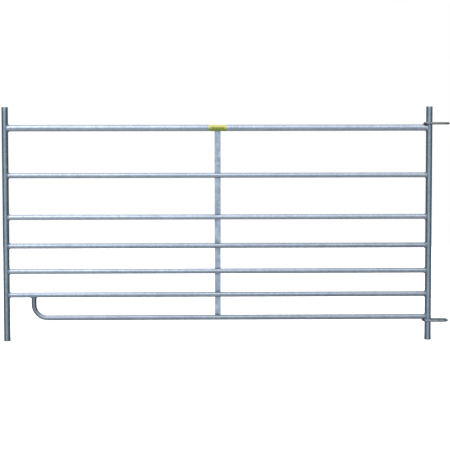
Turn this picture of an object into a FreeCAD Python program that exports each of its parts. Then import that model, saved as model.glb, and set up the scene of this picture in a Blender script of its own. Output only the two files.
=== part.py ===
"""Galvanised sheep hurdle: two tube posts, seven tube rails, a flat centre stay and two coupling rings.

Everything is welded and then hot-dip galvanised, so the panel is one rigid body of separate pieces.
Frame in millimetres: +Z up, +X towards the ring end, -Y is the front. The origin lies on the ground,
under the middle of the overall length, and the posts stand on it.
"""
import FreeCAD, Part
import os
import Sketcher

DRIVING_SIZES = [
    ("panel_length", 1830, "outer face to outer face of the two posts"),
    ("panel_height", 1000, "length of a post, and so the height over all"),
    ("post_od", 26.9, "outside diameter of a post"),
    ("post_wall", 2.3, "wall of a post"),
    ("rim_round", 0.5, "rounding that the zinc gives the cut ends of a post"),
    ("top_rail_od", 26.9, "outside diameter of the top rail"),
    ("top_rail_wall", 2.3, "wall of the top rail"),
    ("rail_od", 21.3, "outside diameter of the six thinner rails"),
    ("rail_wall", 2.0, "wall of the six thinner rails"),
    ("spigot_height", 76.5, "post that stands free above the top rail"),
    ("bottom_height", 98, "ground to the axis of the bottom rail"),
    ("sixth_pitch", 99, "axis of the bottom rail to the axis of the sixth rail"),
    ("fifth_pitch", 101, "sixth rail to fifth rail"),
    ("fourth_pitch", 109, "fifth rail to fourth rail"),
    ("third_pitch", 123, "fourth rail to third rail"),
    ("second_pitch", 178, "third rail to second rail"),
    ("leg_inset", 116, "axis of the left post to the axis of the bottom rail's upturned leg"),
    ("bend_radius", 58, "centre line radius of the bend in the bottom rail"),
    ("saddle_trim", 4, "flat left on a coped tube end, short of the axis that it meets"),
    ("vent_bore", 8, "vent drilled through a wall inside each tube joint, for the zinc bath"),
    ("stay_width", 25, "width of the flat centre stay"),
    ("stay_thickness", 5, "thickness of the flat centre stay"),
    ("stay_overrun", 8, "stay that runs on below the axis of the bottom rail"),
    ("stay_lap", 4.2, "top end of the stay, above the line where its front meets the top rail"),
    ("ring_bar", 9, "diameter of the round bar that the rings are bent from"),
    ("ring_clearance", 2, "gap all round between a post and the inside of a ring"),
    ("ring_reach", 86.5, "axis of the right post to the far tip of a ring"),
    ("weld_leg", 3.5, "leg of the fillet welds round the tube joints"),
    ("bead_radius", 2.5, "radius of the straight beads on the stay and at the rings"),
    ("bead_inset", 2, "bare metal between the end of a straight bead and the stay's edge"),
    ("label_length", 79, "length of the adhesive label along the top rail"),
    ("label_thickness", 0.4, "thickness of the adhesive label"),
    ("label_return", 3.5, "distance that the label's edges reach behind the top rail's axis"),
]

# Where things lie, as expressions on the sheet
ORIGIN_SHIFT = "(Sizes.panel_length - Sizes.post_od / 2 + Sizes.ring_reach) / 2"
LEFT_AXIS = f"(Sizes.post_od / 2 - {ORIGIN_SHIFT})"
SPACING = "(Sizes.panel_length - Sizes.post_od)"
RIGHT_AXIS = f"({LEFT_AXIS} + {SPACING})"
MIDDLE = f"({LEFT_AXIS} + {SPACING} / 2)"
LEG_AXIS = f"({LEFT_AXIS} + Sizes.leg_inset)"

POST_RADIUS = "(Sizes.post_od / 2)"
TOP_RAIL_RADIUS = "(Sizes.top_rail_od / 2)"
RAIL_RADIUS = "(Sizes.rail_od / 2)"
RING_BAR_RADIUS = "(Sizes.ring_bar / 2)"
RING_LINE_RADIUS = f"({POST_RADIUS} + Sizes.ring_clearance + {RING_BAR_RADIUS})"

TOP_HEIGHT = f"(Sizes.panel_height - Sizes.spigot_height - {TOP_RAIL_RADIUS})"
BOTTOM_HEIGHT = "Sizes.bottom_height"
SIXTH_HEIGHT = f"({BOTTOM_HEIGHT} + Sizes.sixth_pitch)"
FIFTH_HEIGHT = f"({SIXTH_HEIGHT} + Sizes.fifth_pitch)"
FOURTH_HEIGHT = f"({FIFTH_HEIGHT} + Sizes.fourth_pitch)"
THIRD_HEIGHT = f"({FOURTH_HEIGHT} + Sizes.third_pitch)"
SECOND_HEIGHT = f"({THIRD_HEIGHT} + Sizes.second_pitch)"
UPPER_RING_HEIGHT = f"({TOP_HEIGHT} + {TOP_RAIL_RADIUS} + {RING_BAR_RADIUS})"
LOWER_RING_HEIGHT = f"({BOTTOM_HEIGHT} - {RAIL_RADIUS} - {RING_BAR_RADIUS})"

STAY_FRONT = RAIL_RADIUS
STAY_BOTTOM = f"({BOTTOM_HEIGHT} - Sizes.stay_overrun)"
STAY_TOP = f"({TOP_HEIGHT} - sqrt({TOP_RAIL_RADIUS}^2 - {STAY_FRONT}^2) + Sizes.stay_lap)"

# The rails that run from post to post: label, height, outside diameter and wall
STRAIGHT_RAILS = [
    ("top_rail", TOP_HEIGHT, "Sizes.top_rail_od", "Sizes.top_rail_wall"),
    ("second_rail", SECOND_HEIGHT, "Sizes.rail_od", "Sizes.rail_wall"),
    ("third_rail", THIRD_HEIGHT, "Sizes.rail_od", "Sizes.rail_wall"),
    ("fourth_rail", FOURTH_HEIGHT, "Sizes.rail_od", "Sizes.rail_wall"),
    ("fifth_rail", FIFTH_HEIGHT, "Sizes.rail_od", "Sizes.rail_wall"),
    ("sixth_rail", SIXTH_HEIGHT, "Sizes.rail_od", "Sizes.rail_wall"),
]
LEFT_JOINTS = [(height, f"{diameter} / 2") for _, height, diameter, _ in STRAIGHT_RAILS]
RIGHT_JOINTS = LEFT_JOINTS + [(BOTTOM_HEIGHT, RAIL_RADIUS)]

ALONG_X = FreeCAD.Rotation(FreeCAD.Vector(0, 1, 0), 90)
AGAINST_X = FreeCAD.Rotation(FreeCAD.Vector(0, 1, 0), -90)
ALONG_Y = FreeCAD.Rotation(FreeCAD.Vector(1, 0, 0), -90)
UPRIGHT = FreeCAD.Rotation()
FIRST, LAST = 1, 2
CENTRE = 3
ORIGIN_POINT = (-1, 1)
HALF_TURN = FreeCAD.Units.Quantity("180 deg").getValueAs("rad").Value

doc = FreeCAD.newDocument("SheepHurdle")
sheet = doc.addObject("Spreadsheet::Sheet", "Sizes")
for row, (alias, size, meaning) in enumerate(DRIVING_SIZES, start=1):
    sheet.set(f"A{row}", alias)
    sheet.set(f"B{row}", str(size))
    sheet.set(f"C{row}", meaning)
    sheet.setAlias(f"B{row}", alias)
doc.recompute()


def value(expression):
    """The number that an expression on the sheet comes to now."""
    return float(sheet.evalExpression(expression))


def bind(item, **expressions):
    """Binds properties to expressions; x, y and z stand for the item's place."""
    for name, expression in expressions.items():
        path = f".Placement.Base.{name}" if name in ("x", "y", "z") else name
        item.setExpression(path, expression)


def new_body(label, **place):
    body = doc.addObject("PartDesign::Body", label)
    body.Label = label
    bind(body, **place)
    return body


def new_sketch(body, name, role):
    """An empty sketch on one of the body's own origin planes."""
    sketch = body.newObject("Sketcher::SketchObject", f"{body.Label}_{name}")
    plane = next(item for item in body.Origin.OriginFeatures if item.Role == role)
    sketch.AttachmentSupport = [(plane, "")]
    sketch.MapMode = "FlatFace"
    return sketch


def drive(sketch, name, expression, kind, *where):
    """Adds one dimension to a sketch and binds it to an expression."""
    index = sketch.addConstraint(Sketcher.Constraint(kind, *where, value(expression)))
    sketch.renameConstraint(index, name)
    sketch.setExpression(f"Constraints.{name}", expression)


def draw_circle(sketch, name, diameter, across="0", up="0"):
    middle = FreeCAD.Vector(value(across), value(up), 0)
    edge = sketch.addGeometry(Part.Circle(middle, FreeCAD.Vector(0, 0, 1), value(diameter) / 2), False)
    drive(sketch, f"{name}_across", across, "DistanceX", *ORIGIN_POINT, edge, CENTRE)
    drive(sketch, f"{name}_up", up, "DistanceY", *ORIGIN_POINT, edge, CENTRE)
    drive(sketch, f"{name}_diameter", diameter, "Diameter", edge)


def draw_tube(sketch, diameter, wall):
    """The section of a round tube: two circles round the sketch's origin."""
    draw_circle(sketch, "outside", diameter)
    draw_circle(sketch, "bore", f"{diameter} - 2 * {wall}")


def draw_box(sketch, width, bottom, top):
    """A rectangle centred across the sketch, from one height to another."""
    half = value(width) / 2
    low = value(bottom)
    high = value(top)
    corners = [(-half, low), (half, low), (half, high), (-half, high)]
    points = [FreeCAD.Vector(across, up, 0) for across, up in corners]
    for start, end in zip(points, points[1:] + points[:1]):
        sketch.addGeometry(Part.LineSegment(start, end), False)
    for side in range(4):
        sketch.addConstraint(Sketcher.Constraint("Coincident", side, LAST, (side + 1) % 4, FIRST))
        sketch.addConstraint(Sketcher.Constraint("Vertical" if side % 2 else "Horizontal", side))
    drive(sketch, "right", f"{width} / 2", "DistanceX", *ORIGIN_POINT, 1, FIRST)
    drive(sketch, "left", f"-{width} / 2", "DistanceX", *ORIGIN_POINT, 3, FIRST)
    drive(sketch, "bottom", bottom, "DistanceY", *ORIGIN_POINT, 0, FIRST)
    drive(sketch, "top", top, "DistanceY", *ORIGIN_POINT, 2, FIRST)


def pad(body, sketch, length, side_type="One side"):
    feature = body.newObject("PartDesign::Pad", f"{body.Label}_pad")
    feature.Profile = sketch
    feature.SideType = side_type
    bind(feature, Length=length)
    doc.recompute()
    return feature


def pocket(body, sketch, name, length, side_type="Symmetric", turned=False):
    """Cuts a sketch through the body, and makes sure that metal really went."""
    before = body.Shape.Volume
    feature = body.newObject("PartDesign::Pocket", f"{body.Label}_{name}")
    feature.Profile = sketch
    feature.SideType = side_type
    feature.Reversed = turned
    bind(feature, Length=length)
    doc.recompute()
    if body.Shape.Volume > before - 1:
        raise RuntimeError(f"{body.Label}: the cut {name} took nothing away")
    return feature


def pipe(body, profile, path):
    feature = body.newObject("PartDesign::AdditivePipe", f"{body.Label}_pipe")
    feature.Profile = profile
    feature.Spine = path
    feature.Mode = "Frenet"
    doc.recompute()
    return feature


# Posts: plain tubes with open ends, and a vent behind the end of each rail
def make_post(label, across, joints, turned):
    body = new_body(label, x=across)
    section = new_sketch(body, "section", "XY_Plane")
    draw_tube(section, "Sizes.post_od", "Sizes.post_wall")
    tube = pad(body, section, "Sizes.panel_height")
    rims = [f"Edge{i}" for i, edge in enumerate(tube.Shape.Edges, start=1) if len(edge.Vertexes) == 1]
    rounding = body.newObject("PartDesign::Fillet", f"{label}_rims")
    rounding.Base = (tube, rims)
    bind(rounding, Radius="Sizes.rim_round")
    doc.recompute()
    vents = new_sketch(body, "vent_circles", "YZ_Plane")
    for number, (height, _) in enumerate(joints):
        draw_circle(vents, f"vent_{number}", "Sizes.vent_bore", up=height)
    pocket(body, vents, "vents", "Sizes.post_od", "One side", turned)
    return body


left_post = make_post("left_post", LEFT_AXIS, LEFT_JOINTS, turned=True)
right_post = make_post("right_post", RIGHT_AXIS, RIGHT_JOINTS, turned=False)


# Straight rails: tubes whose ends are coped to sit on the posts
def make_rail(label, height, diameter, wall):
    body = new_body(label, x=MIDDLE, z=height)
    section = new_sketch(body, "section", "YZ_Plane")
    draw_tube(section, diameter, wall)
    pad(body, section, f"{SPACING} - 2 * Sizes.saddle_trim", "Symmetric")
    saddles = new_sketch(body, "saddle_circles", "XY_Plane")
    draw_circle(saddles, "left", "Sizes.post_od", across=f"-{SPACING} / 2")
    draw_circle(saddles, "right", "Sizes.post_od", across=f"{SPACING} / 2")
    pocket(body, saddles, "saddles", f"2 * {diameter}")
    return body


rails = {label: make_rail(label, *sizes) for label, *sizes in STRAIGHT_RAILS}

# The leg of the bottom rail opens into the sixth rail through one more vent
sixth_rail = rails["sixth_rail"]
leg_vent = new_sketch(sixth_rail, "leg_vent_circle", "XY_Plane")
draw_circle(leg_vent, "vent", "Sizes.vent_bore", across=f"{LEG_AXIS} - {MIDDLE}")
pocket(sixth_rail, leg_vent, "leg_vent", "Sizes.rail_od", "One side", turned=False)


# Bottom rail: one tube, straight from the right post and bent up to the sixth rail short of the left
def make_bottom_rail():
    body = new_body("bottom_rail", x=RIGHT_AXIS, z=BOTTOM_HEIGHT)
    leg_across = f"{LEG_AXIS} - {RIGHT_AXIS}"
    leg_top = "Sizes.sixth_pitch - Sizes.saddle_trim"
    bend = value("Sizes.bend_radius")
    leg_x = value(leg_across)
    path = new_sketch(body, "centre_line", "XZ_Plane")
    run_start = FreeCAD.Vector(-value("Sizes.saddle_trim"), 0, 0)
    run_end = FreeCAD.Vector(leg_x + bend, 0, 0)
    leg_start = FreeCAD.Vector(leg_x, bend, 0)
    leg_end = FreeCAD.Vector(leg_x, value(leg_top), 0)
    quarter = Part.Circle(FreeCAD.Vector(leg_x + bend, bend, 0), FreeCAD.Vector(0, 0, 1), bend)
    run = path.addGeometry(Part.LineSegment(run_start, run_end), False)
    arc = path.addGeometry(Part.ArcOfCircle(quarter, HALF_TURN, 1.5 * HALF_TURN), False)
    leg = path.addGeometry(Part.LineSegment(leg_start, leg_end), False)
    path.addConstraint(Sketcher.Constraint("Tangent", run, LAST, arc, LAST))
    path.addConstraint(Sketcher.Constraint("Tangent", arc, FIRST, leg, FIRST))
    path.addConstraint(Sketcher.Constraint("Horizontal", run))
    path.addConstraint(Sketcher.Constraint("Vertical", leg))
    path.addConstraint(Sketcher.Constraint("PointOnObject", run, FIRST, -1))
    drive(path, "run_start", "-Sizes.saddle_trim", "DistanceX", *ORIGIN_POINT, run, FIRST)
    drive(path, "leg_across", leg_across, "DistanceX", *ORIGIN_POINT, leg, LAST)
    drive(path, "leg_top", leg_top, "DistanceY", *ORIGIN_POINT, leg, LAST)
    drive(path, "bend", "Sizes.bend_radius", "Radius", arc)
    section = new_sketch(body, "section", "YZ_Plane")
    bind(section, **{".AttachmentOffset.Base.z": "-Sizes.saddle_trim"})
    draw_tube(section, "Sizes.rail_od", "Sizes.rail_wall")
    doc.recompute()
    pipe(body, section, path)
    saddle = new_sketch(body, "saddle_circle", "XY_Plane")
    draw_circle(saddle, "post", "Sizes.post_od")
    pocket(body, saddle, "saddle", "2 * Sizes.rail_od")
    cope = new_sketch(body, "cope_circle", "YZ_Plane")
    bind(cope, **{".AttachmentOffset.Base.z": leg_across})
    draw_circle(cope, "sixth_rail", "Sizes.rail_od", up="Sizes.sixth_pitch")
    pocket(body, cope, "cope", "2 * Sizes.rail_od")
    return body


bottom_rail = make_bottom_rail()


# Centre stay: flat bar across the backs of the rails, its top end coped under the top rail
def make_stay():
    body = new_body("centre_stay", x=MIDDLE, y=f"{STAY_FRONT} + Sizes.stay_thickness")
    outline = new_sketch(body, "outline", "XZ_Plane")
    draw_box(outline, "Sizes.stay_width", STAY_BOTTOM, STAY_TOP)
    pad(body, outline, "Sizes.stay_thickness")
    cope = new_sketch(body, "cope_circle", "YZ_Plane")
    draw_circle(
        cope,
        "top_rail",
        "Sizes.top_rail_od",
        across=f"-{STAY_FRONT} - Sizes.stay_thickness",
        up=TOP_HEIGHT,
    )
    pocket(body, cope, "cope", "2 * Sizes.stay_width")
    return body


centre_stay = make_stay()


# Coupling rings: round bar bent to an oblong ring round the right post, with a free eye beyond it
def make_ring(label, height):
    body = new_body(label, x=RIGHT_AXIS, z=height)
    far_across = f"Sizes.ring_reach - {RING_BAR_RADIUS} - {RING_LINE_RADIUS}"
    bend = value(RING_LINE_RADIUS)
    far = value(far_across)
    upward = FreeCAD.Vector(0, 0, 1)
    near_circle = Part.Circle(FreeCAD.Vector(0, 0, 0), upward, bend)
    far_circle = Part.Circle(FreeCAD.Vector(far, 0, 0), upward, bend)
    path = new_sketch(body, "centre_line", "XY_Plane")
    near_arc = path.addGeometry(Part.ArcOfCircle(near_circle, 0.5 * HALF_TURN, 1.5 * HALF_TURN), False)
    front = path.addGeometry(
        Part.LineSegment(FreeCAD.Vector(0, -bend, 0), FreeCAD.Vector(far, -bend, 0)), False
    )
    far_arc = path.addGeometry(Part.ArcOfCircle(far_circle, -0.5 * HALF_TURN, 0.5 * HALF_TURN), False)
    back = path.addGeometry(
        Part.LineSegment(FreeCAD.Vector(far, bend, 0), FreeCAD.Vector(0, bend, 0)), False
    )
    around = [near_arc, front, far_arc, back]
    for edge, following in zip(around, around[1:] + around[:1]):
        path.addConstraint(Sketcher.Constraint("Tangent", edge, LAST, following, FIRST))
    path.addConstraint(Sketcher.Constraint("Coincident", near_arc, CENTRE, *ORIGIN_POINT))
    path.addConstraint(Sketcher.Constraint("Horizontal", front))
    drive(path, "bend", RING_LINE_RADIUS, "Radius", near_arc)
    drive(path, "far_across", far_across, "DistanceX", *ORIGIN_POINT, far_arc, CENTRE)
    section = new_sketch(body, "section", "YZ_Plane")
    draw_circle(section, "bar", "Sizes.ring_bar", across=f"-{RING_LINE_RADIUS}")
    doc.recompute()
    pipe(body, section, path)
    return body


upper_ring = make_ring("upper_ring", UPPER_RING_HEIGHT)
lower_ring = make_ring("lower_ring", LOWER_RING_HEIGHT)


# Plain shapes and booleans that the welds and the label are made of
def rod(name, radius, length, turn, **place):
    """A solid cylinder that starts at its place and runs the way that it is turned."""
    item = doc.addObject("Part::Cylinder", name)
    item.Placement.Rotation = turn
    bind(item, Radius=radius, Height=length, **place)
    return item


def cut(name, base, tool):
    item = doc.addObject("Part::Cut", name)
    item.Base = base
    item.Tool = tool
    item.Label = name
    return item


def common(name, base, tool):
    item = doc.addObject("Part::Common", name)
    item.Base = base
    item.Tool = tool
    item.Label = name
    return item


def compound(name, pieces):
    item = doc.addObject("Part::Compound", name)
    item.Links = pieces
    item.Label = name
    return item


def sleeve(name, radius, length, turn, **place):
    """The room that a weld may fill round a tube of this radius: a sleeve one weld leg thick."""
    outside = rod(f"{name}_outside", f"{radius} + Sizes.weld_leg", length, turn, **place)
    inside = rod(f"{name}_inside", radius, length, turn, **place)
    return cut(name, outside, inside)


# Post welds: a fillet right round the end of each rail
def make_post_welds(label, across, joints, turn, side, ring_tools):
    """side is +1 where the rails leave the post along +X and -1 where they leave it along -X."""
    around_post = sleeve(f"{label}_post", POST_RADIUS, "Sizes.panel_height", UPRIGHT, x=across)
    reach = f"{POST_RADIUS} + 2 * Sizes.weld_leg"
    start = f"{across} + {side} * Sizes.saddle_trim"
    around_rails = [
        sleeve(f"{label}_rail_{number}", radius, reach, turn, x=start, z=height)
        for number, (height, radius) in enumerate(joints)
    ]
    beads = common(f"{label}_beads", compound(f"{label}_rails", around_rails), around_post)
    if ring_tools:
        return cut(label, beads, compound(f"{label}_rings", ring_tools))
    beads.Label = label
    return beads


left_post_welds = make_post_welds("left_post_welds", LEFT_AXIS, LEFT_JOINTS, ALONG_X, 1, [])
right_post_welds = make_post_welds(
    "right_post_welds", RIGHT_AXIS, RIGHT_JOINTS, AGAINST_X, -1, [upper_ring, lower_ring]
)

# Leg weld: a fillet round the top of the leg, under the sixth rail
leg_start = f"{SIXTH_HEIGHT} - Sizes.saddle_trim - {RAIL_RADIUS} - 2 * Sizes.weld_leg"
around_leg = sleeve(
    "leg_weld_leg", RAIL_RADIUS, f"{RAIL_RADIUS} + 2 * Sizes.weld_leg", UPRIGHT, x=LEG_AXIS, z=leg_start
)
around_sixth = sleeve(
    "leg_weld_rail",
    RAIL_RADIUS,
    "2 * Sizes.rail_od",
    ALONG_X,
    x=f"{LEG_AXIS} - Sizes.rail_od",
    z=SIXTH_HEIGHT,
)
leg_weld = common("leg_weld", around_leg, around_sixth)


# Stay welds: a bead above and below the line where the flat bar lies on each rail
def make_stay_welds():
    bead_line = f"({STAY_FRONT} - Sizes.bead_radius / 2)"
    length = "Sizes.stay_width - 2 * Sizes.bead_inset"
    start = f"{MIDDLE} - Sizes.stay_width / 2 + Sizes.bead_inset"
    rests = [(height, f"{diameter} / 2") for _, height, diameter, _ in STRAIGHT_RAILS]
    rests.append((BOTTOM_HEIGHT, RAIL_RADIUS))
    beads = []
    for number, (height, radius) in enumerate(rests):
        away = f"sqrt(({radius} + 0.3 * Sizes.bead_radius)^2 - {bead_line}^2)"
        # the stay stops under the top rail, so that one has no bead above
        for side in (-1,) if number == 0 else (-1, 1):
            name = f"stay_bead_{number}_{'below' if side < 0 else 'above'}"
            bar = rod(
                f"{name}_bar",
                "Sizes.bead_radius",
                length,
                ALONG_X,
                x=start,
                y=bead_line,
                z=f"{height} + {side} * {away}",
            )
            tube = rod(f"{name}_tube", radius, "Sizes.stay_width", ALONG_X, x=start, z=height)
            beads.append(cut(f"{name}_off_stay", cut(f"{name}_off_tube", bar, tube), centre_stay))
    return compound("stay_welds", beads)


stay_welds = make_stay_welds()


# Ring welds: a bead that fills the gap round the post, and one across the rail that the ring lies on
def make_ring_welds(label, ring, height, rail_height, rail_radius, side):
    """side is +1 where the ring lies on top of its rail and -1 where it lies under it."""
    cone = doc.addObject("Part::Cone", f"{label}_cone")
    bind(
        cone,
        Radius1=RING_LINE_RADIUS,
        Radius2=f"{POST_RADIUS} + Sizes.ring_clearance / 2",
        Height=f"{RING_BAR_RADIUS} + Sizes.weld_leg",
        x=RIGHT_AXIS,
        z=height,
    )
    near_half = doc.addObject("Part::Box", f"{label}_near_half")
    bind(
        near_half,
        Length=f"{RING_LINE_RADIUS} + {POST_RADIUS} / 2",
        Width=f"2 * {RING_LINE_RADIUS}",
        Height="Sizes.ring_bar + Sizes.weld_leg",
        x=f"{RIGHT_AXIS} - {RING_LINE_RADIUS}",
        y=f"-{RING_LINE_RADIUS}",
        z=height,
    )
    post = rod(f"{label}_post", POST_RADIUS, "Sizes.panel_height", UPRIGHT, x=RIGHT_AXIS)
    rail = rod(
        f"{label}_rail", rail_radius, f"2 * {RING_LINE_RADIUS}", AGAINST_X, x=RIGHT_AXIS, z=rail_height
    )
    in_the_way = compound(f"{label}_in_the_way", [post, rail, ring])
    collar = cut(f"{label}_collar", common(f"{label}_half", cone, near_half), in_the_way)
    collar = cut(f"{label}_round_post", collar, right_post_welds)
    bead_length = f"{TOP_RAIL_RADIUS}"
    bar = rod(
        f"{label}_bar",
        "Sizes.bead_radius",
        bead_length,
        ALONG_Y,
        x=f"{RIGHT_AXIS} - {RING_LINE_RADIUS} - {RING_BAR_RADIUS}",
        y=f"-{bead_length} / 2",
        z=f"{rail_height} + {side} * {rail_radius}",
    )
    across_rail = cut(f"{label}_on_rail", bar, in_the_way)
    return compound(label, [collar, across_rail])


upper_ring_welds = make_ring_welds(
    "upper_ring_welds", upper_ring, UPPER_RING_HEIGHT, TOP_HEIGHT, TOP_RAIL_RADIUS, 1
)
lower_ring_welds = make_ring_welds(
    "lower_ring_welds", lower_ring, LOWER_RING_HEIGHT, BOTTOM_HEIGHT, RAIL_RADIUS, -1
)


# Label: a thin plastic strip stuck round the front of the top rail
def make_label():
    outer = f"{TOP_RAIL_RADIUS} + Sizes.label_thickness"
    start = f"{MIDDLE} - Sizes.label_length / 2"
    length = "Sizes.label_length"
    outside = rod("label_outside", outer, length, ALONG_X, x=start, z=TOP_HEIGHT)
    tube = rod("label_tube", TOP_RAIL_RADIUS, length, ALONG_X, x=start, z=TOP_HEIGHT)
    behind = doc.addObject("Part::Box", "label_behind")
    bind(
        behind,
        Length=length,
        Width="Sizes.top_rail_od",
        Height="2 * Sizes.top_rail_od",
        x=start,
        y="Sizes.label_return",
        z=f"{TOP_HEIGHT} - Sizes.top_rail_od",
    )
    return cut("rail_label", cut("label_ring", outside, tube), behind)


rail_label = make_label()
doc.recompute()

SUB_PARTS = [
    left_post,
    right_post,
    *rails.values(),
    bottom_rail,
    centre_stay,
    upper_ring,
    lower_ring,
    rail_label,
    left_post_welds,
    right_post_welds,
    leg_weld,
    stay_welds,
    upper_ring_welds,
    lower_ring_welds,
]

for item in doc.Objects:
    if "Invalid" in item.State or "Error" in item.State:
        raise RuntimeError(f"{item.Name} did not compute: {item.State}")
for item in SUB_PARTS:
    if item.Shape.isNull() or not item.Shape.isValid() or not item.Shape.Solids:
        raise RuntimeError(f"{item.Label} has no valid solid")

os.makedirs("parts", exist_ok=True)
for item in SUB_PARTS:
    item.Shape.exportStep(f"parts/{item.Label}.step")
    box = item.Shape.BoundBox
    print(
        f"{item.Label}: {len(item.Shape.Solids)} solids, {item.Shape.Volume / 1000:.1f} cm3,"
        f" z {box.ZMin:.1f} to {box.ZMax:.1f}"
    )
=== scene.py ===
"""Galvanised sheep hurdle: tube posts and rails, a flat stay, coupling rings, welds and a label."""
import math

import bpy
from mathutils import Euler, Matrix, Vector, noise


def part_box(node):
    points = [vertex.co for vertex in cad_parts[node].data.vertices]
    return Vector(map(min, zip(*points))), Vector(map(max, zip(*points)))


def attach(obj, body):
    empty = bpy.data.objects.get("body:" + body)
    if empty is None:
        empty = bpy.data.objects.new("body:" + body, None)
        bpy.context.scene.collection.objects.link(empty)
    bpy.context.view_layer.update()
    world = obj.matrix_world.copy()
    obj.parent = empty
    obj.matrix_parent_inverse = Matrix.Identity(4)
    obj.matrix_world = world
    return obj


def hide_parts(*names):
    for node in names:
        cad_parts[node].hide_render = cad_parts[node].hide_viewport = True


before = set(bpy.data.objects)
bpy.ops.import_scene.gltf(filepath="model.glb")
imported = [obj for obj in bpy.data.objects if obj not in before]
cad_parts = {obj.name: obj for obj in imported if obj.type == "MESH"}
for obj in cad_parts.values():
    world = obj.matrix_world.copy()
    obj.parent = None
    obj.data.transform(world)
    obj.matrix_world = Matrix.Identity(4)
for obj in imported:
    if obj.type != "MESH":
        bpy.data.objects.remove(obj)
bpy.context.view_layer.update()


# ---------------------------------------------------------------------------------------------
# The studio: a wide pale floor under a soft light overhead, in a room that is lit mostly from above
# and from the front. To look at, the room is plain white; in the metal it is dim behind the panel.
# ---------------------------------------------------------------------------------------------
def add_object(name, data):
    item = bpy.data.objects.new(name, data)
    bpy.context.scene.collection.objects.link(item)
    return item


def add_node(tree, kind, **settings):
    """A new node with its properties set; inputs are set or linked by the caller."""
    item = tree.nodes.new(kind)
    for name, setting in settings.items():
        setattr(item, name, setting)
    return item


def new_material(name):
    """An empty material, its node tree and its principled shader."""
    material = bpy.data.materials.new(name)
    material.use_nodes = True
    tree = material.node_tree
    return material, tree, tree.nodes["Principled BSDF"]


FLOOR_LOW = (-1.8, -2.8)
FLOOR_HIGH = (1.8, 2.6)
floor_mesh = bpy.data.meshes.new("studio_floor")
floor_corners = [
    (FLOOR_LOW[0], FLOOR_LOW[1], 0),
    (FLOOR_HIGH[0], FLOOR_LOW[1], 0),
    (FLOOR_HIGH[0], FLOOR_HIGH[1], 0),
    (FLOOR_LOW[0], FLOOR_HIGH[1], 0),
]
floor_mesh.from_pydata(floor_corners, [], [(0, 1, 2, 3)])
floor_material, _, floor_shader = new_material("studio_paper")
floor_shader.inputs["Base Color"].default_value = (0.68, 0.68, 0.68, 1)
floor_shader.inputs["Roughness"].default_value = 0.9
floor_shader.inputs["Specular IOR Level"].default_value = 0.0
floor_mesh.materials.append(floor_material)
studio_floor = add_object("studio_floor", floor_mesh)
studio_floor.visible_glossy = False

world = bpy.data.worlds.new("studio")
bpy.context.scene.world = world
world.use_nodes = True
room = world.node_tree
room.nodes.clear()
ray = add_node(room, "ShaderNodeLightPath")
# The light depends on the direction that it comes from: X is right, Y is away and Z is up
way = add_node(room, "ShaderNodeTexCoord")
parts = add_node(room, "ShaderNodeSeparateXYZ")
room.links.new(way.outputs["Generated"], parts.inputs[0])


def room_light(source, start, end, strength_at_start, strength_at_end):
    """Light that changes smoothly between two values of one component of the direction."""
    item = add_node(room, "ShaderNodeMapRange", interpolation_type="SMOOTHSTEP")
    room.links.new(source, item.inputs["Value"])
    item.inputs["From Min"].default_value = start
    item.inputs["From Max"].default_value = end
    item.inputs["To Min"].default_value = strength_at_start
    item.inputs["To Max"].default_value = strength_at_end
    return item.outputs[0]


def add_math(tree, operation, first, second):
    """A math node on two values, each a plain number or another node's output."""
    item = add_node(tree, "ShaderNodeMath", operation=operation)
    for socket, source in zip(item.inputs, (first, second)):
        if isinstance(source, float):
            socket.default_value = source
        else:
            tree.links.new(source, socket)
    return item.outputs[0]


LEAST_LIGHT = 0.36
from_front = room_light(parts.outputs["Y"], -0.3, -1.0, 0, 1.3)
from_back = room_light(parts.outputs["Y"], 0.3, 1.0, 0, 0.3)
from_above = room_light(parts.outputs["Z"], 0.1, 0.66, 0, 2.7)
from_below = room_light(parts.outputs["Z"], -0.25, -0.8, 0, 0.75)
# The front light fades towards the floor, and the room is nowhere quite dark
front_fade = room_light(parts.outputs["Z"], -0.35, -0.02, 0.55, 1)
front = add_math(room, "MULTIPLY", from_front, front_fade)
ends = add_math(room, "ADD", front, from_back)
# The overhead light hangs in front of the panel, so it is weaker towards the back
back_fade = room_light(parts.outputs["Y"], 0.0, 0.75, 1, 0.55)
above = add_math(room, "MULTIPLY", from_above, back_fade)
upper = add_math(room, "ADD", above, LEAST_LIGHT)
brightness = add_math(room, "ADD", add_math(room, "ADD", ends, from_below), upper)
# Dark flags stand at both sides, so that the round posts show dark flanks
sideways = add_math(room, "ABSOLUTE", parts.outputs["X"], 0.0)
flags = room_light(sideways, 0.3, 0.8, 1, 0.55)
# The left of the room is the brighter side
key_side = room_light(parts.outputs["X"], -0.35, 0.35, 1.12, 0.82)
shading = add_math(room, "MULTIPLY", flags, key_side)
lit = add_node(room, "ShaderNodeBackground")
lit.inputs["Color"].default_value = (0.97, 0.99, 1.0, 1)
room.links.new(add_math(room, "MULTIPLY", brightness, shading), lit.inputs["Strength"])
seen = add_node(room, "ShaderNodeBackground")
seen.inputs["Color"].default_value = (1, 1, 1, 1)
seen.inputs["Strength"].default_value = 1.0
choice = add_node(room, "ShaderNodeMixShader")
room.links.new(ray.outputs["Is Camera Ray"], choice.inputs[0])
room.links.new(lit.outputs[0], choice.inputs[1])
room.links.new(seen.outputs[0], choice.inputs[2])
outlet = add_node(room, "ShaderNodeOutputWorld")
room.links.new(choice.outputs[0], outlet.inputs["Surface"])
bpy.context.scene.view_settings.view_transform = "Standard"
bpy.context.scene.view_settings.look = "None"


def soft_light(name, place, aim, width, depth, power):
    """A rectangular softbox at a place, facing an aim point."""
    lamp = bpy.data.lights.new(name, "AREA")
    lamp.shape = "RECTANGLE"
    lamp.size = width
    lamp.size_y = depth
    lamp.energy = power
    item = add_object(name, lamp)
    item.location = place
    item.rotation_euler = (Vector(aim) - Vector(place)).to_track_quat("-Z", "Y").to_euler()
    item.visible_camera = False


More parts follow.
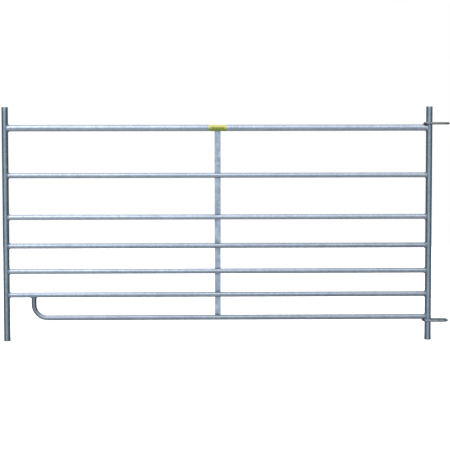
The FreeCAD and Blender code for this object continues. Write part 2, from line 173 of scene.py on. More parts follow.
soft_light("overhead_softbox", (-2.0, -1.5, 4.4), (-0.4, 0, 0.4), 3.6, 1.7, 52)

# The camera stands a little above the top rail and looks slightly down, turned a touch to the rings
camera = add_object("camera", bpy.data.cameras.new("camera"))
camera.data.sensor_width = 36
camera.data.lens = 82.2
camera.data.shift_y = -0.19
camera.location = (-0.0571, -4.363, 1.073)
yaw = math.radians(0.688)
pitch = math.radians(2.786)
roll = math.radians(0.077)
camera.rotation_euler = Euler((math.pi / 2 - pitch, roll, -yaw), "XYZ")
bpy.context.scene.camera = camera


# ---------------------------------------------------------------------------------------------
# Posts: two lengths of round steel tube, saw-cut square and left open at both ends.
# Hot-dip zinc rounds their rims, freezes in crystals and leaves the wall slightly uneven.
# ---------------------------------------------------------------------------------------------
MM = 0.001
POST_WALL = 2.3 * MM
RIM_ROUND = 0.5 * MM
UNEVENNESS = 0.08 * MM
HOLLOWS_ACROSS = 60
HOLLOWS_IN_PLANE = 22
HOLLOW_CONTRAST = 1.4
TUBE_SIDES = 40
STATION = 12 * MM


def hollow(place):
    """How far, from 0 to 1, the zinc lies below its fullest at a place; it changes over centimetres."""
    along = Vector((place.x * HOLLOWS_IN_PLANE, place.y * HOLLOWS_ACROSS, place.z * HOLLOWS_IN_PLANE))
    return 0.5 + 0.5 * max(-1.0, min(1.0, HOLLOW_CONTRAST * noise.noise(along)))


def ring_round(centre, across, up, radius, uneven=0.0):
    """The points of one circle of a tube, pressed in by the zinc's unevenness."""
    points = []
    for side in range(TUBE_SIDES):
        turn = 2 * math.pi * side / TUBE_SIDES
        outward = across * math.cos(turn) + up * math.sin(turn)
        point = centre + outward * radius
        if uneven:
            point -= outward * uneven * hollow(point)
        points.append(point)
    return points


def skin(rings, closed=True):
    """Joins successive rings of points with quads; closed joins the last ring back to the first."""
    sides = len(rings[0])
    points = [point for ring in rings for point in ring]
    faces = []
    pairs = len(rings) if closed else len(rings) - 1
    for number in range(pairs):
        here = number * sides
        there = (number + 1) % len(rings) * sides
        for side in range(sides):
            ahead = (side + 1) % sides
            faces.append((here + side, here + ahead, there + ahead, there + side))
    return points, faces


def make_piece(name, points, faces, material, sharp_over=35):
    """An object at the origin with its material, smooth except at its sharp edges."""
    mesh = bpy.data.meshes.new(name)
    mesh.from_pydata(points, [], faces)
    mesh.materials.append(material)
    mesh.shade_smooth()
    mesh.set_sharp_from_angle(angle=math.radians(sharp_over))
    return add_object(name, mesh)


def place_piece(piece, slot, *nodes):
    """Hands a finished piece to the frame: its body, and the CAD nodes that it stands for, which are
    hidden. The slot is not used.
    """
    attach(piece, "root")
    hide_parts(*nodes)


def zinc_material(name, dark, light, crystal, stretch, rough, painted_shade=(1, 1)):
    """Hot-dip zinc: crystals, cloudy patches and drawn-out runs, between a dark and a light grey.

    Painted shade is the share of the brightness left at the left and at the right end of a long piece:
    the colour darkens along it where less light falls.
    """
    material, tree, shader = new_material(name)
    place = add_node(tree, "ShaderNodeTexCoord")
    crystals = add_node(tree, "ShaderNodeTexVoronoi")
    crystals.inputs["Scale"].default_value = 1 / crystal
    tree.links.new(place.outputs["Object"], crystals.inputs["Vector"])
    tone = add_node(tree, "ShaderNodeSeparateColor")
    tree.links.new(crystals.outputs["Color"], tone.inputs[0])
    clouds = add_node(tree, "ShaderNodeTexNoise")
    clouds.inputs["Scale"].default_value = 16
    clouds.inputs["Detail"].default_value = 5
    tree.links.new(place.outputs["Object"], clouds.inputs["Vector"])
    drawn = add_node(tree, "ShaderNodeMapping")
    drawn.inputs["Scale"].default_value = stretch
    tree.links.new(place.outputs["Object"], drawn.inputs["Vector"])
    runs = add_node(tree, "ShaderNodeTexNoise")
    runs.inputs["Scale"].default_value = 1
    runs.inputs["Detail"].default_value = 3
    tree.links.new(drawn.outputs[0], runs.inputs["Vector"])
    # Crystals, clouds and runs share the tone between them
    cloudy = add_node(tree, "ShaderNodeMix", data_type="FLOAT")
    cloudy.inputs["Factor"].default_value = 0.6
    tree.links.new(tone.outputs["Red"], cloudy.inputs["A"])
    tree.links.new(clouds.outputs["Fac"], cloudy.inputs["B"])
    streaky = add_node(tree, "ShaderNodeMix", data_type="FLOAT")
    streaky.inputs["Factor"].default_value = 0.35
    tree.links.new(cloudy.outputs["Result"], streaky.inputs["A"])
    tree.links.new(runs.outputs["Fac"], streaky.inputs["B"])
    ramp = add_node(tree, "ShaderNodeValToRGB")
    ramp.color_ramp.elements[0].position = 0.28
    ramp.color_ramp.elements[0].color = (*dark, 1)
    ramp.color_ramp.elements[1].position = 0.68
    ramp.color_ramp.elements[1].color = (*light, 1)
    tree.links.new(streaky.outputs["Result"], ramp.inputs[0])
    if painted_shade == (1, 1):
        tree.links.new(ramp.outputs[0], shader.inputs["Base Color"])
    else:
        # Painted shade: the colour is scaled from the left end's share to the right end's share along X
        apart = add_node(tree, "ShaderNodeSeparateXYZ")
        painted_share = add_node(tree, "ShaderNodeMapRange")
        shaded = add_node(tree, "ShaderNodeVectorMath", operation="SCALE")
        painted_share.inputs["From Min"].default_value = -0.75
        painted_share.inputs["From Max"].default_value = 0.75
        painted_share.inputs["To Min"].default_value = painted_shade[0]
        painted_share.inputs["To Max"].default_value = painted_shade[1]
        tree.links.new(place.outputs["Object"], apart.inputs[0])
        tree.links.new(apart.outputs["X"], painted_share.inputs["Value"])
        tree.links.new(ramp.outputs[0], shaded.inputs[0])
        tree.links.new(painted_share.outputs[0], shaded.inputs["Scale"])
        tree.links.new(shaded.outputs[0], shader.inputs["Base Color"])
    gloss = add_node(tree, "ShaderNodeMapRange")
    gloss.inputs["To Min"].default_value = rough - 0.03
    gloss.inputs["To Max"].default_value = rough + 0.06
    tree.links.new(tone.outputs["Green"], gloss.inputs["Value"])
    tree.links.new(gloss.outputs[0], shader.inputs["Roughness"])
    shader.inputs["Metallic"].default_value = 0.9
    shader.inputs["Specular IOR Level"].default_value = 0.2
    shader.inputs["Specular Tint"].default_value = (0.35, 0.37, 0.4, 1)
    # Fine grain over the faint facets of the crystals
    grain = add_node(tree, "ShaderNodeTexNoise")
    grain.inputs["Scale"].default_value = 700
    grain.inputs["Detail"].default_value = 2
    tree.links.new(place.outputs["Object"], grain.inputs["Vector"])
    fine = add_node(tree, "ShaderNodeBump")
    fine.inputs["Strength"].default_value = 0.08
    fine.inputs["Distance"].default_value = 0.1 * MM
    tree.links.new(grain.outputs["Fac"], fine.inputs["Height"])
    facets = add_node(tree, "ShaderNodeBump")
    facets.inputs["Strength"].default_value = 0.06
    facets.inputs["Distance"].default_value = 0.2 * MM
    tree.links.new(crystals.outputs["Distance"], facets.inputs["Height"])
    tree.links.new(fine.outputs[0], facets.inputs["Normal"])
    tree.links.new(facets.outputs[0], shader.inputs["Normal"])
    return material


post_zinc = zinc_material(
    "post_zinc", (0.15, 0.20, 0.25), (0.215, 0.275, 0.33), 8 * MM, (70, 70, 5), 0.30
)
X_AXIS = Vector((1, 0, 0))
Y_AXIS = Vector((0, 1, 0))
Z_AXIS = Vector((0, 0, 1))


def steps(start, end, size):
    """Evenly spaced numbers from start to end, about a given step apart."""
    count = max(2, round(abs(end - start) / size) + 1)
    return [start + (end - start) * number / (count - 1) for number in range(count)]


def rim(radius_mid, reach, height, toward):
    """The rounded rim of a tube wall as (radius, height), from one side of the wall to the other."""
    corner = reach - RIM_ROUND
    turns = [math.radians(angle) for angle in (30, 60, 90)]
    outside = [(radius_mid + corner + RIM_ROUND * math.cos(t), RIM_ROUND * math.sin(t)) for t in turns]
    inside = [(radius_mid - corner - RIM_ROUND * math.cos(t), RIM_ROUND * math.sin(t)) for t in turns]
    profile = outside + inside[::-1]
    return [(radius, height + toward * (rise - RIM_ROUND)) for radius, rise in profile]


def make_post(node):
    """One post: its wall's outline from foot to top outside and back inside, turned round its axis."""
    low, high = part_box(node)
    middle = (low + high) / 2
    radius = (high.x - low.x) / 2
    radius_mid = radius - POST_WALL / 2
    wall = steps(RIM_ROUND, high.z - RIM_ROUND, STATION)
    outline = [(radius, height) for height in wall]
    outline += rim(radius_mid, POST_WALL / 2, high.z, 1)
    outline += [(radius - POST_WALL, height) for height in reversed(wall)]
    outline += rim(radius_mid, POST_WALL / 2, 0, -1)[::-1]
    rings = [
        ring_round(Vector((middle.x, middle.y, height)), X_AXIS, Y_AXIS, at, UNEVENNESS)
        for at, height in outline
    ]
    piece = make_piece(f"{node}_tube", *skin(rings), post_zinc)
    place_piece(piece, "galvanised_tube", node)
    return middle, radius


left_post, post_radius = make_post("left_post")
right_post, _ = make_post("right_post")


# ---------------------------------------------------------------------------------------------
# Straight rails: six lengths of tube, the top one as thick as the posts, laid across between them.
# Each end is coped to the curve of its post and welded all round, so no opening shows.
# ---------------------------------------------------------------------------------------------
RAIL_WALL = 2.0 * MM
TOP_RAIL_WALL = 2.3 * MM
SADDLE_TRIM = 4 * MM
# Painted shade: the share of the zinc's brightness at each rail's left and right ends, lower on the
# lower rails and towards the right, where less light falls
RAIL_PAINTED_SHADE = {
    "top_rail": (1.02, 1.03),
    "second_rail": (1.0, 1.02),
    "third_rail": (1.12, 1.0),
    "fourth_rail": (0.98, 0.80),
    "fifth_rail": (1.0, 0.83),
    "sixth_rail": (0.93, 0.78),
    "bottom_rail": (0.79, 0.74),
}


def rail_zinc(node):
    """The zinc of one rail, with painted shade: the rails differ in shade, the lower ones darker, and
    most are darker towards the right where less light falls.
    """
    dark = (0.17, 0.198, 0.237)
    light = (0.235, 0.268, 0.318)
    return zinc_material(f"{node}_zinc", dark, light, 8 * MM, (5, 70, 70), 0.30, RAIL_PAINTED_SHADE[node])


def saddle_depth(sideways, radius):
    """From a post's axis to its surface, at a distance sideways, and never less than the trimmed end."""
    return math.sqrt(max(radius**2 - sideways**2, SADDLE_TRIM**2))


def rail_ring(height, radius, share, uneven):
    """One ring of a rail, at a share of its way from the left post's surface to the right post's."""
    points = []
    for side in range(TUBE_SIDES):
        turn = 2 * math.pi * side / TUBE_SIDES
        across = radius * math.cos(turn)
        depth = saddle_depth(across, post_radius)
        start = left_post.x + depth
        end = right_post.x - depth
        point = Vector((start + (end - start) * share, across, height + radius * math.sin(turn)))
        outward = Vector((0, math.cos(turn), math.sin(turn)))
        points.append(point - outward * uneven * hollow(point))
    return points


def make_rail(node, wall):
    """One straight rail with its bore; returns the height of its axis and its radius."""
    low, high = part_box(node)
    height = (low.z + high.z) / 2
    radius = (high.z - low.z) / 2
    shares = steps(0, 1, STATION / (high.x - low.x))
    rings = [rail_ring(height, radius, share, UNEVENNESS) for share in shares]
    rings += [rail_ring(height, radius - wall, share, 0) for share in (1, 0.75, 0.5, 0.25, 0)]
    piece = make_piece(f"{node}_tube", *skin(rings), rail_zinc(node))
    place_piece(piece, "galvanised_tube", node)
    return height, radius


rail_places = {"top_rail": make_rail("top_rail", TOP_RAIL_WALL)}
for node in ("second_rail", "third_rail", "fourth_rail", "fifth_rail", "sixth_rail"):
    rail_places[node] = make_rail(node, RAIL_WALL)


# ---------------------------------------------------------------------------------------------
# Bottom rail: the same tube in one length, cold-bent up through a right angle at its left end.
# Its leg is coped under the sixth rail, and leaves the foot of the left post clear for a ring.
# ---------------------------------------------------------------------------------------------
BEND_RADIUS = 58 * MM
BEND_STEP = math.radians(5)
BEND_FLATTENING = 0.6 * MM
sixth_height, rail_radius = rail_places["sixth_rail"]
bottom_low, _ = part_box("bottom_rail")
bottom_height = bottom_low.z + rail_radius
leg_x = bottom_low.x + rail_radius


def bend_flattening(share):
    """A cold-bent tube goes slightly oval half-way round its bend; share runs from 0 to 1 along it."""
    return BEND_FLATTENING * math.sin(math.pi * share)


def bottom_rail_rings(radius, uneven):
    """Rings from the right post along the run, round the bend and up the leg."""
    rings = []
    run_start = right_post.x
    run_end = leg_x + BEND_RADIUS
    for share in steps(0, 1, STATION / (run_start - run_end)):
        points = []
        for side in range(TUBE_SIDES):
            turn = 2 * math.pi * side / TUBE_SIDES
            across = radius * math.cos(turn)
            start = run_start - saddle_depth(across, post_radius)
            rise = radius * math.sin(turn)
            point = Vector((start + (run_end - start) * share, across, bottom_height + rise))
            outward = Vector((0, math.cos(turn), math.sin(turn)))
            points.append(point - outward * uneven * hollow(point))
        rings.append(points)
    hub = Vector((run_end, 0, bottom_height + BEND_RADIUS))
    bends = round(math.radians(90) / BEND_STEP)
    for number in range(1, bends + 1):
        turned = math.radians(90) * number / bends
        inward = Vector((math.sin(turned), 0, math.cos(turned)))
        centre = hub - inward * BEND_RADIUS
        pressed = bend_flattening(number / bends)
        ring = []
        for side in range(TUBE_SIDES):
            turn = 2 * math.pi * side / TUBE_SIDES
            outward = Y_AXIS * math.cos(turn) + inward * math.sin(turn)
            point = centre + outward * radius - inward * math.sin(turn) * pressed
            ring.append(point - outward * uneven * hollow(point))
        rings.append(ring)
    for share in steps(0, 1, STATION / (sixth_height - bottom_height - BEND_RADIUS))[1:]:
        ring = []
        for side in range(TUBE_SIDES):
            turn = 2 * math.pi * side / TUBE_SIDES
            across = radius * math.cos(turn)
            start = bottom_height + BEND_RADIUS
            end = sixth_height - saddle_depth(across, rail_radius)
            outward = Vector((math.sin(turn), math.cos(turn), 0))
            point = Vector((leg_x + radius * math.sin(turn), across, start + (end - start) * share))
            ring.append(point - outward * uneven * hollow(point))
        rings.append(ring)
    return rings


bottom_outer = bottom_rail_rings(rail_radius, UNEVENNESS)
bottom_inner = bottom_rail_rings(rail_radius - RAIL_WALL, 0)
bottom_points, bottom_faces = skin(bottom_outer + bottom_inner[::-1])
bottom_faces = [face[::-1] for face in bottom_faces]
bottom_zinc = rail_zinc("bottom_rail")
bottom_rail = make_piece("bottom_rail_tube", bottom_points, bottom_faces, bottom_zinc)
place_piece(bottom_rail, "galvanised_tube", "bottom_rail")


# ---------------------------------------------------------------------------------------------
# Centre stay: rolled flat bar with soft corners, standing against the backs of all the rails.
# Its foot is cropped square behind the bottom rail, and its head is coped under the top rail.
# ---------------------------------------------------------------------------------------------
STAY_CORNER = 0.9 * MM
STAY_UNEVENNESS = 0.12 * MM
stay_low, stay_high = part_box("centre_stay")
top_height, top_radius = rail_places["top_rail"]

stay_zinc = zinc_material(
    "stay_zinc", (0.18, 0.225, 0.285), (0.31, 0.375, 0.46), 13 * MM, (45, 45, 14), 0.40
)


def stay_outline():
    """The section of the flat bar, anticlockwise from above, with a quarter round at each corner."""
    corners = [
        (stay_high.x - STAY_CORNER, stay_low.y + STAY_CORNER, -90),
        (stay_high.x - STAY_CORNER, stay_high.y - STAY_CORNER, 0),
        (stay_low.x + STAY_CORNER, stay_high.y - STAY_CORNER, 90),
        (stay_low.x + STAY_CORNER, stay_low.y + STAY_CORNER, 180),
    ]
    outline = []
    for x, y, first in corners:
        for angle in (0, 30, 60, 90):
            turn = math.radians(first + angle)
            outline.append((x + STAY_CORNER * math.cos(turn), y + STAY_CORNER * math.sin(turn)))
    for x in steps(stay_low.x + 2 * STAY_CORNER, stay_high.x - 2 * STAY_CORNER, 5 * MM):
        outline.append((x, stay_low.y))
    return outline


def stay_head(y):
    """Where the head of the stay ends: on the top rail's surface, or at its own cropped end."""
    if y >= top_radius:
        return stay_high.z
    return min(stay_high.z, top_height - math.sqrt(top_radius**2 - y**2))


def stay_point(x, y, share):
    """A place on the stay's skin; all but its front face, which rests on the rails, is uneven."""
    height = stay_low.z + (stay_head(y) - stay_low.z) * share
    point = Vector((x, y, height))
    if y > stay_low.y:
        point.y -= STAY_UNEVENNESS * hollow(point)
    return point


stay_rings = [
    [stay_point(x, y, share) for x, y in stay_outline()]
    for share in steps(0, 1, STATION / (stay_high.z - stay_low.z))
]
stay_points, stay_faces = skin(stay_rings, closed=False)
stay_sides = len(stay_rings[0])
stay_faces.append(tuple(reversed(range(stay_sides))))
stay_faces.append(tuple(range(len(stay_points) - stay_sides, len(stay_points))))
centre_stay = make_piece("centre_stay_bar", stay_points, stay_faces, stay_zinc)
place_piece(centre_stay, "galvanised_flat", "centre_stay")


# ---------------------------------------------------------------------------------------------
# Coupling rings: round bar bent to an oblong ring and slipped over the right post before welding.
# The upper one lies on the top rail and the lower one hangs under the bottom rail.
# ---------------------------------------------------------------------------------------------
def set_inputs(modifier, **inputs):
    """Sets a geometry modifier's inputs by name, through their identifiers."""
    for item in modifier.node_group.interface.items_tree:
        key = item.name.lower().replace(" ", "_")
        if item.in_out == "INPUT" and key in inputs:
            modifier[item.identifier] = inputs[key]


def new_tree(name, **sizes):
    """A geometry tree that takes geometry, a material and the named sizes."""
    tree = bpy.data.node_groups.new(name, "GeometryNodeTree")
    tree.interface.new_socket("Geometry", in_out="INPUT", socket_type="NodeSocketGeometry")
    for label, kind in sizes.items():
        tree.interface.new_socket(label.replace("_", " ").title(), in_out="INPUT", socket_type=kind)
    tree.interface.new_socket("Material", in_out="INPUT", socket_type="NodeSocketMaterial")
    tree.interface.new_socket("Geometry", in_out="OUTPUT", socket_type="NodeSocketGeometry")
    return tree, add_node(tree, "NodeGroupInput"), add_node(tree, "NodeGroupOutput")


def finish_tree(tree, source, given, result):
    """Ends a tree: instances made real, smooth shading and the material."""
    real = add_node(tree, "GeometryNodeRealizeInstances")
    smooth = add_node(tree, "GeometryNodeSetShadeSmooth")
    coat = add_node(tree, "GeometryNodeSetMaterial")
    tree.links.new(source, real.inputs[0])
    tree.links.new(real.outputs[0], smooth.inputs[0])
    tree.links.new(smooth.outputs[0], coat.inputs["Geometry"])
    tree.links.new(given.outputs["Material"], coat.inputs["Material"])
    tree.links.new(coat.outputs[0], result.inputs[0])


def grow(name, seed_mesh, tree, **inputs):
    """Runs a geometry tree on a seed mesh and returns the result as a plain mesh object."""
    seed = add_object(f"{name}_seed", seed_mesh)
    modifier = seed.modifiers.new("grow", "NODES")
    modifier.node_group = tree
    set_inputs(modifier, **inputs)
    shown = seed.evaluated_get(bpy.context.evaluated_depsgraph_get())
    mesh = bpy.data.meshes.new_from_object(shown)
    mesh.name = name
    bpy.data.objects.remove(seed)
    return add_object(name, mesh)


RING_END_STEPS = 28
RING_STRAIGHT_STEPS = 6
BAR_SIDES = 28

ring_tree, ring_given, ring_result = new_tree("bent_bar", bar_radius="NodeSocketFloat")
bend_line = add_node(ring_tree, "GeometryNodeMeshToCurve")
ring_tree.links.new(ring_given.outputs["Geometry"], bend_line.inputs[0])
bar = add_node(ring_tree, "GeometryNodeCurvePrimitiveCircle")
bar.inputs["Resolution"].default_value = BAR_SIDES
ring_tree.links.new(ring_given.outputs["Bar Radius"], bar.inputs["Radius"])
swept = add_node(ring_tree, "GeometryNodeCurveToMesh")
ring_tree.links.new(bend_line.outputs[0], swept.inputs["Curve"])
ring_tree.links.new(bar.outputs[0], swept.inputs["Profile Curve"])
finish_tree(ring_tree, swept.outputs[0], ring_given, ring_result)

# Painted shade: the rings' zinc is much darker than the tubes', and the upper ring's is darker still,
# for the shade on the bent bar
upper_ring_zinc = zinc_material(
    "upper_ring_zinc", (0.085, 0.092, 0.096), (0.13, 0.14, 0.145), 7 * MM, (30, 30, 30), 0.42
)
lower_ring_zinc = zinc_material(
    "lower_ring_zinc", (0.085, 0.102, 0.115), (0.15, 0.175, 0.195), 7 * MM, (30, 30, 30), 0.40
)


def ring_line(middle, half_straight, bend_radius):
    """The centre line of an oblong ring: two half circles, joined by straights along the rails."""
    points = []
    for side in (1, -1):
        for number in range(RING_END_STEPS + 1):
            turn = math.pi * (number / RING_END_STEPS - 0.5)
            x = half_straight + bend_radius * math.cos(turn)
            points.append(middle + Vector((side * x, side * bend_radius * math.sin(turn), 0)))
        for number in range(1, RING_STRAIGHT_STEPS):
            x = half_straight * (1 - 2 * number / RING_STRAIGHT_STEPS)
            points.append(middle + Vector((side * x, side * bend_radius, 0)))
    return points


def make_ring(node, zinc):
    """One ring; returns its middle, the x of its tip over the rail, and its bar's radius."""
    low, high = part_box(node)
    bar_radius = (high.z - low.z) / 2
    middle = (low + high) / 2
    bend_radius = (high.y - low.y) / 2 - bar_radius
    half_straight = (high.x - low.x) / 2 - bar_radius - bend_radius
    points = ring_line(middle, half_straight, bend_radius)
    edges = [(number, (number + 1) % len(points)) for number in range(len(points))]
    line = bpy.data.meshes.new(f"{node}_line")
    line.from_pydata(points, edges, [])
    piece = grow(f"{node}_bar", line, ring_tree, bar_radius=bar_radius, material=zinc)
    place_piece(piece, "galvanised_bar", node)
    return middle, low.x, bar_radius


upper_ring, upper_tip, ring_bar_radius = make_ring("upper_ring", upper_ring_zinc)
lower_ring, lower_tip, _ = make_ring("lower_ring", lower_ring_zinc)


# ---------------------------------------------------------------------------------------------
# Weld beads: steel laid down in small overlapping ripples round every joint, then zinc over it all.
# A bead runs right round each tube end; short straight ones hold the stay and the rings.
# ---------------------------------------------------------------------------------------------
WELD_LEG = 3.5 * MM
BEAD_LIFT = 0.22 * WELD_LEG
BEAD_RADIUS = 2.6 * MM
RIPPLE_PITCH = 1.6 * MM
PATH_STEPS = 64
RIPPLE_SEGMENTS = 10
RIPPLE_RINGS = 6

bead_tree, bead_given, bead_result = new_tree(
    "weld_ripples",
    ripple_pitch="NodeSocketFloat",
    ripple_radius="NodeSocketFloat",
    ripple_thickness="NodeSocketFloat",
    seed="NodeSocketInt",
)
path = add_node(bead_tree, "GeometryNodeMeshToCurve")
bead_tree.links.new(bead_given.outputs["Geometry"], path.inputs[0])
spots = add_node(bead_tree, "GeometryNodeCurveToPoints", mode="LENGTH")
bead_tree.links.new(path.outputs[0], spots.inputs["Curve"])
bead_tree.links.new(bead_given.outputs["Ripple Pitch"], spots.inputs["Length"])
ripple = add_node(bead_tree, "GeometryNodeMeshUVSphere")
ripple.inputs["Segments"].default_value = RIPPLE_SEGMENTS
ripple.inputs["Rings"].default_value = RIPPLE_RINGS
ripple.inputs["Radius"].default_value = 1
ripple_size = add_node(bead_tree, "ShaderNodeCombineXYZ")
bead_tree.links.new(bead_given.outputs["Ripple Radius"], ripple_size.inputs["X"])
bead_tree.links.new(bead_given.outputs["Ripple Radius"], ripple_size.inputs["Y"])
bead_tree.links.new(bead_given.outputs["Ripple Thickness"], ripple_size.inputs["Z"])
chance = add_node(bead_tree, "FunctionNodeRandomValue", data_type="FLOAT")
chance.inputs["Min"].default_value = 0.86
chance.inputs["Max"].default_value = 1.12
bead_tree.links.new(bead_given.outputs["Seed"], chance.inputs["Seed"])
sized = add_node(bead_tree, "ShaderNodeVectorMath", operation="SCALE")
bead_tree.links.new(ripple_size.outputs[0], sized.inputs[0])
bead_tree.links.new(chance.outputs[1], sized.inputs["Scale"])
laid = add_node(bead_tree, "GeometryNodeInstanceOnPoints")
bead_tree.links.new(spots.outputs["Points"], laid.inputs["Points"])
bead_tree.links.new(ripple.outputs["Mesh"], laid.inputs["Instance"])
bead_tree.links.new(spots.outputs["Rotation"], laid.inputs["Rotation"])
bead_tree.links.new(sized.outputs[0], laid.inputs["Scale"])
finish_tree(bead_tree, laid.outputs[0], bead_given, bead_result)

weld_zinc = zinc_material(
    "weld_zinc", (0.14, 0.18, 0.23), (0.20, 0.25, 0.31), 5 * MM, (60, 60, 60), 0.36
)


def around_end(axis_point, along, radius, met_radius, met_axis):
    """The closed path of a bead round a tube's end, where it meets a tube that runs along met_axis."""
    sideways = along.cross(met_axis)
    points = []
    for number in range(PATH_STEPS):
        turn = 2 * math.pi * number / PATH_STEPS
        lateral = (radius + BEAD_LIFT) * math.cos(turn)
        depth = saddle_depth(lateral, met_radius + BEAD_LIFT)
        lifted = met_axis * (radius + BEAD_LIFT) * math.sin(turn)
        points.append(axis_point + along * depth + sideways * lateral + lifted)
    return points, True


def lay_beads(node, paths, seed, radius=BEAD_RADIUS):
    """Welds one group of joints: its paths become edges, and the ripples are laid along them."""
    points = []
    edges = []
    for path_points, closed in paths:
        first = len(points)
        points.extend(path_points)
        last = len(points) - 1
        edges.extend((number, number + 1) for number in range(first, last))
        if closed:
            edges.append((last, first))
    mesh = bpy.data.meshes.new(f"{node}_path")
    mesh.from_pydata(points, edges, [])
    piece = grow(
        f"{node}_beads",
        mesh,
        bead_tree,
        ripple_pitch=RIPPLE_PITCH,
        ripple_radius=radius,
        ripple_thickness=1.1 * RIPPLE_PITCH,
        seed=seed,
        material=weld_zinc,
    )
    place_piece(piece, "galvanised_weld", node)


def at_post(post, height):
    return Vector((post.x, 0, height))


left_paths = [
    around_end(at_post(left_post, height), X_AXIS, radius, post_radius, Z_AXIS)
    for height, radius in rail_places.values()
]
right_paths = [
    around_end(at_post(right_post, height), -X_AXIS, radius, post_radius, Z_AXIS)
    for height, radius in [*rail_places.values(), (bottom_height, rail_radius)]
]
leg_top = Vector((leg_x, 0, sixth_height))
lay_beads("left_post_welds", left_paths, seed=3)
lay_beads("right_post_welds", right_paths, seed=4)
lay_beads("leg_weld", [around_end(leg_top, -Z_AXIS, rail_radius, rail_radius, X_AXIS)], seed=5)

# Stay: a bead above and below each rail, in the corner where the flat meets the round
STAY_BEAD_RADIUS = 2.2 * MM
STAY_BEAD_INSET = 3 * MM
stay_rests = [*rail_places.values(), (bottom_height, rail_radius)]
stay_paths = []
for height, radius in stay_rests:
    bead_y = stay_low.y - STAY_BEAD_RADIUS / 2
    away = math.sqrt((radius + 0.3 * STAY_BEAD_RADIUS) ** 2 - bead_y**2)
    # The stay ends under the top rail, so there is no bead above that one
    for side in (-1,) if radius == top_radius else (-1, 1):
        start = Vector((stay_low.x + STAY_BEAD_INSET, bead_y, height + side * away))
        end = Vector((stay_high.x - STAY_BEAD_INSET, bead_y, height + side * away))
        stay_paths.append(([start, end], False))
lay_beads("stay_welds", stay_paths, seed=6, radius=STAY_BEAD_RADIUS)

# Rings: a bead over the gap, two thirds of the way round the post, and one across the rail
RING_BEAD_RADIUS = 3.3 * MM
RING_BEAD_START = 60
RING_BEAD_END = 300
RING_BEAD_STEP = 5


def ring_paths(ring, near_tip, rail_height, radius, side):
    """The bead between a ring and the post, and the one that holds the ring's back to the rail."""
    gap_line = post_radius + 0.6 * RING_BEAD_RADIUS
    rise = ring.z + 0.85 * ring_bar_radius
    arc = []
    for angle in range(RING_BEAD_START, RING_BEAD_END + 1, RING_BEAD_STEP):
        turn = math.radians(angle)
        arc.append(Vector((right_post.x + gap_line * math.cos(turn), gap_line * math.sin(turn), rise)))
    on_rail = rail_height + side * (radius + 0.2 * BEAD_RADIUS)
    reach = 0.3 * radius
    across = [Vector((near_tip - 0.2 * BEAD_RADIUS, y, on_rail)) for y in (-reach, reach)]
    return [(arc, False), (across, False)]


upper_paths = ring_paths(upper_ring, upper_tip, top_height, top_radius, 1)
lower_paths = ring_paths(lower_ring, lower_tip, bottom_height, rail_radius, -1)
lay_beads("upper_ring_welds", upper_paths, seed=7, radius=RING_BEAD_RADIUS)
lay_beads("lower_ring_welds", lower_paths, seed=8, radius=RING_BEAD_RADIUS)


# ---------------------------------------------------------------------------------------------
# Label: a strip of yellow-green vinyl film stuck round the front of the top rail over the stay.
# It has rounded corners, lies a little askew, is darker green along its lower part and is printed with
# plain dashes.
# ---------------------------------------------------------------------------------------------
LABEL_THICKNESS = 0.35 * MM
LABEL_CORNER = 11 * MM
LABEL_SLANT = 0.1
GLUE_GAP = 0.02 * MM
GREEN_BAND_TOP = 0.45
DASH_COUNT = 8.0
label_low, label_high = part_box("rail_label")
label_wrap = math.pi / 2 + math.asin(label_high.y / top_radius)
label_half = label_wrap * top_radius
label_length = label_high.x - label_low.x - 2 * LABEL_SLANT * label_half


def label_trim(u):
    """How far the rounded corners take the label's long edges in, at a place along it."""
    short = LABEL_CORNER - min(u * label_length, (1 - u) * label_length, LABEL_CORNER)
    return LABEL_CORNER - math.sqrt(LABEL_CORNER**2 - short**2)


def label_point(u, v, depth):
    """u runs along the rail and v round it, from below over the front to the top."""
    reach = (label_half - label_trim(u)) * (2 * v - 1)
    turn = reach / top_radius
    radius = top_radius + GLUE_GAP + depth
    x = (label_low.x + label_high.x) / 2 + label_length * (u - 0.5) - LABEL_SLANT * reach
    return Vector((x, -radius * math.cos(turn), top_height + radius * math.sin(turn)))


def make_label():
    """The film: an outer and an inner face joined round the edge, cut finer at the rounded corners."""
    first_corner = [0.0, 0.004, 0.015, 0.03, 0.05, 0.07]
    last_corner = [0.93, 0.95, 0.97, 0.985, 0.996, 1.0]
    length_cuts = first_corner + steps(0.09, 0.91, 0.04) + last_corner
    round_cuts = steps(0, 1, 0.03)
    points = []
    places = []
    for depth in (LABEL_THICKNESS, 0):
        for u in length_cuts:
            for v in round_cuts:
                points.append(label_point(u, v, depth))
                places.append((u, v))
    rows = len(length_cuts)
    columns = len(round_cuts)
    layer = rows * columns
    faces = []
    for row in range(rows - 1):
        for column in range(columns - 1):
            a = row * columns + column
            quad = (a, a + columns, a + columns + 1, a + 1)
            faces.append(quad)
            faces.append(tuple(layer + corner for corner in reversed(quad)))
    rim_line = [row * columns for row in range(rows)]
    rim_line += [(rows - 1) * columns + column for column in range(1, columns)]
    rim_line += [row * columns + columns - 1 for row in range(rows - 2, -1, -1)]
    rim_line += list(range(columns - 2, 0, -1))
    for here, there in zip(rim_line, rim_line[1:] + rim_line[:1]):
        faces.append((here, layer + here, layer + there, there))
    piece = make_piece("rail_label_film", points, faces, label_film)
    layout = piece.data.uv_layers.new(name="label")
    for loop in piece.data.loops:
        layout.data[loop.index].uv = places[loop.vertex_index]
    return piece


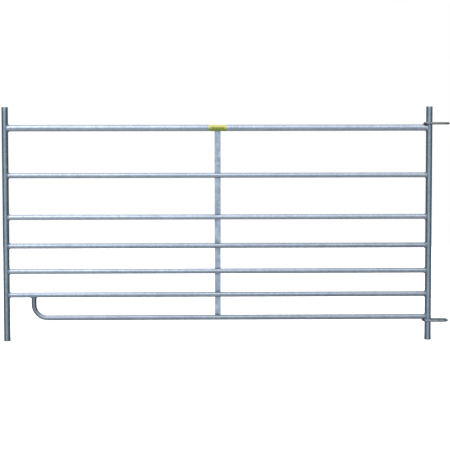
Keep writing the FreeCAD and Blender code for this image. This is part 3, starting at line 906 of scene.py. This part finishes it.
def label_material():
    """Film: faded yellow, darker green along the lower part, and a printed row of dark dashes."""
    material, tree, shader = new_material("label_film")
    sheet = add_node(tree, "ShaderNodeUVMap", uv_map="label")
    split = add_node(tree, "ShaderNodeSeparateXYZ")
    tree.links.new(sheet.outputs[0], split.inputs[0])

    def between(source, low, high):
        over = add_math(tree, "GREATER_THAN", source, low)
        under = add_math(tree, "LESS_THAN", source, high)
        return add_math(tree, "MULTIPLY", over, under)

    along = split.outputs["X"]
    around = split.outputs["Y"]
    dash = add_math(tree, "FRACT", add_math(tree, "MULTIPLY", along, DASH_COUNT), 0.0)
    inked = add_math(tree, "MULTIPLY", between(dash, 0.16, 0.84), between(along, 0.125, 0.875))
    row = add_math(tree, "MULTIPLY", inked, between(around, 0.44, 0.58))
    wear = add_node(tree, "ShaderNodeTexNoise")
    wear.inputs["Scale"].default_value = 90
    place = add_node(tree, "ShaderNodeTexCoord")
    tree.links.new(place.outputs["Object"], wear.inputs["Vector"])
    faded = add_node(tree, "ShaderNodeValToRGB")
    faded.color_ramp.elements[0].position = 0.3
    faded.color_ramp.elements[0].color = (0.27, 0.262, 0.06, 1)
    faded.color_ramp.elements[1].position = 0.7
    faded.color_ramp.elements[1].color = (0.34, 0.33, 0.09, 1)
    tree.links.new(wear.outputs["Fac"], faded.inputs[0])
    band = add_node(tree, "ShaderNodeMix", data_type="RGBA")
    tree.links.new(between(around, 0.0, GREEN_BAND_TOP), band.inputs["Factor"])
    tree.links.new(faded.outputs[0], band.inputs["A"])
    band.inputs["B"].default_value = (0.10, 0.155, 0.004, 1)
    colour = add_node(tree, "ShaderNodeMix", data_type="RGBA")
    tree.links.new(row, colour.inputs["Factor"])
    tree.links.new(band.outputs["Result"], colour.inputs["A"])
    colour.inputs["B"].default_value = (0.10, 0.085, 0.008, 1)
    tree.links.new(colour.outputs["Result"], shader.inputs["Base Color"])
    shader.inputs["Roughness"].default_value = 0.45
    shader.inputs["Specular IOR Level"].default_value = 0.3
    shader.inputs["Coat Weight"].default_value = 0.08
    return material


label_film = label_material()
rail_label = make_label()
place_piece(rail_label, "label_film", "rail_label")
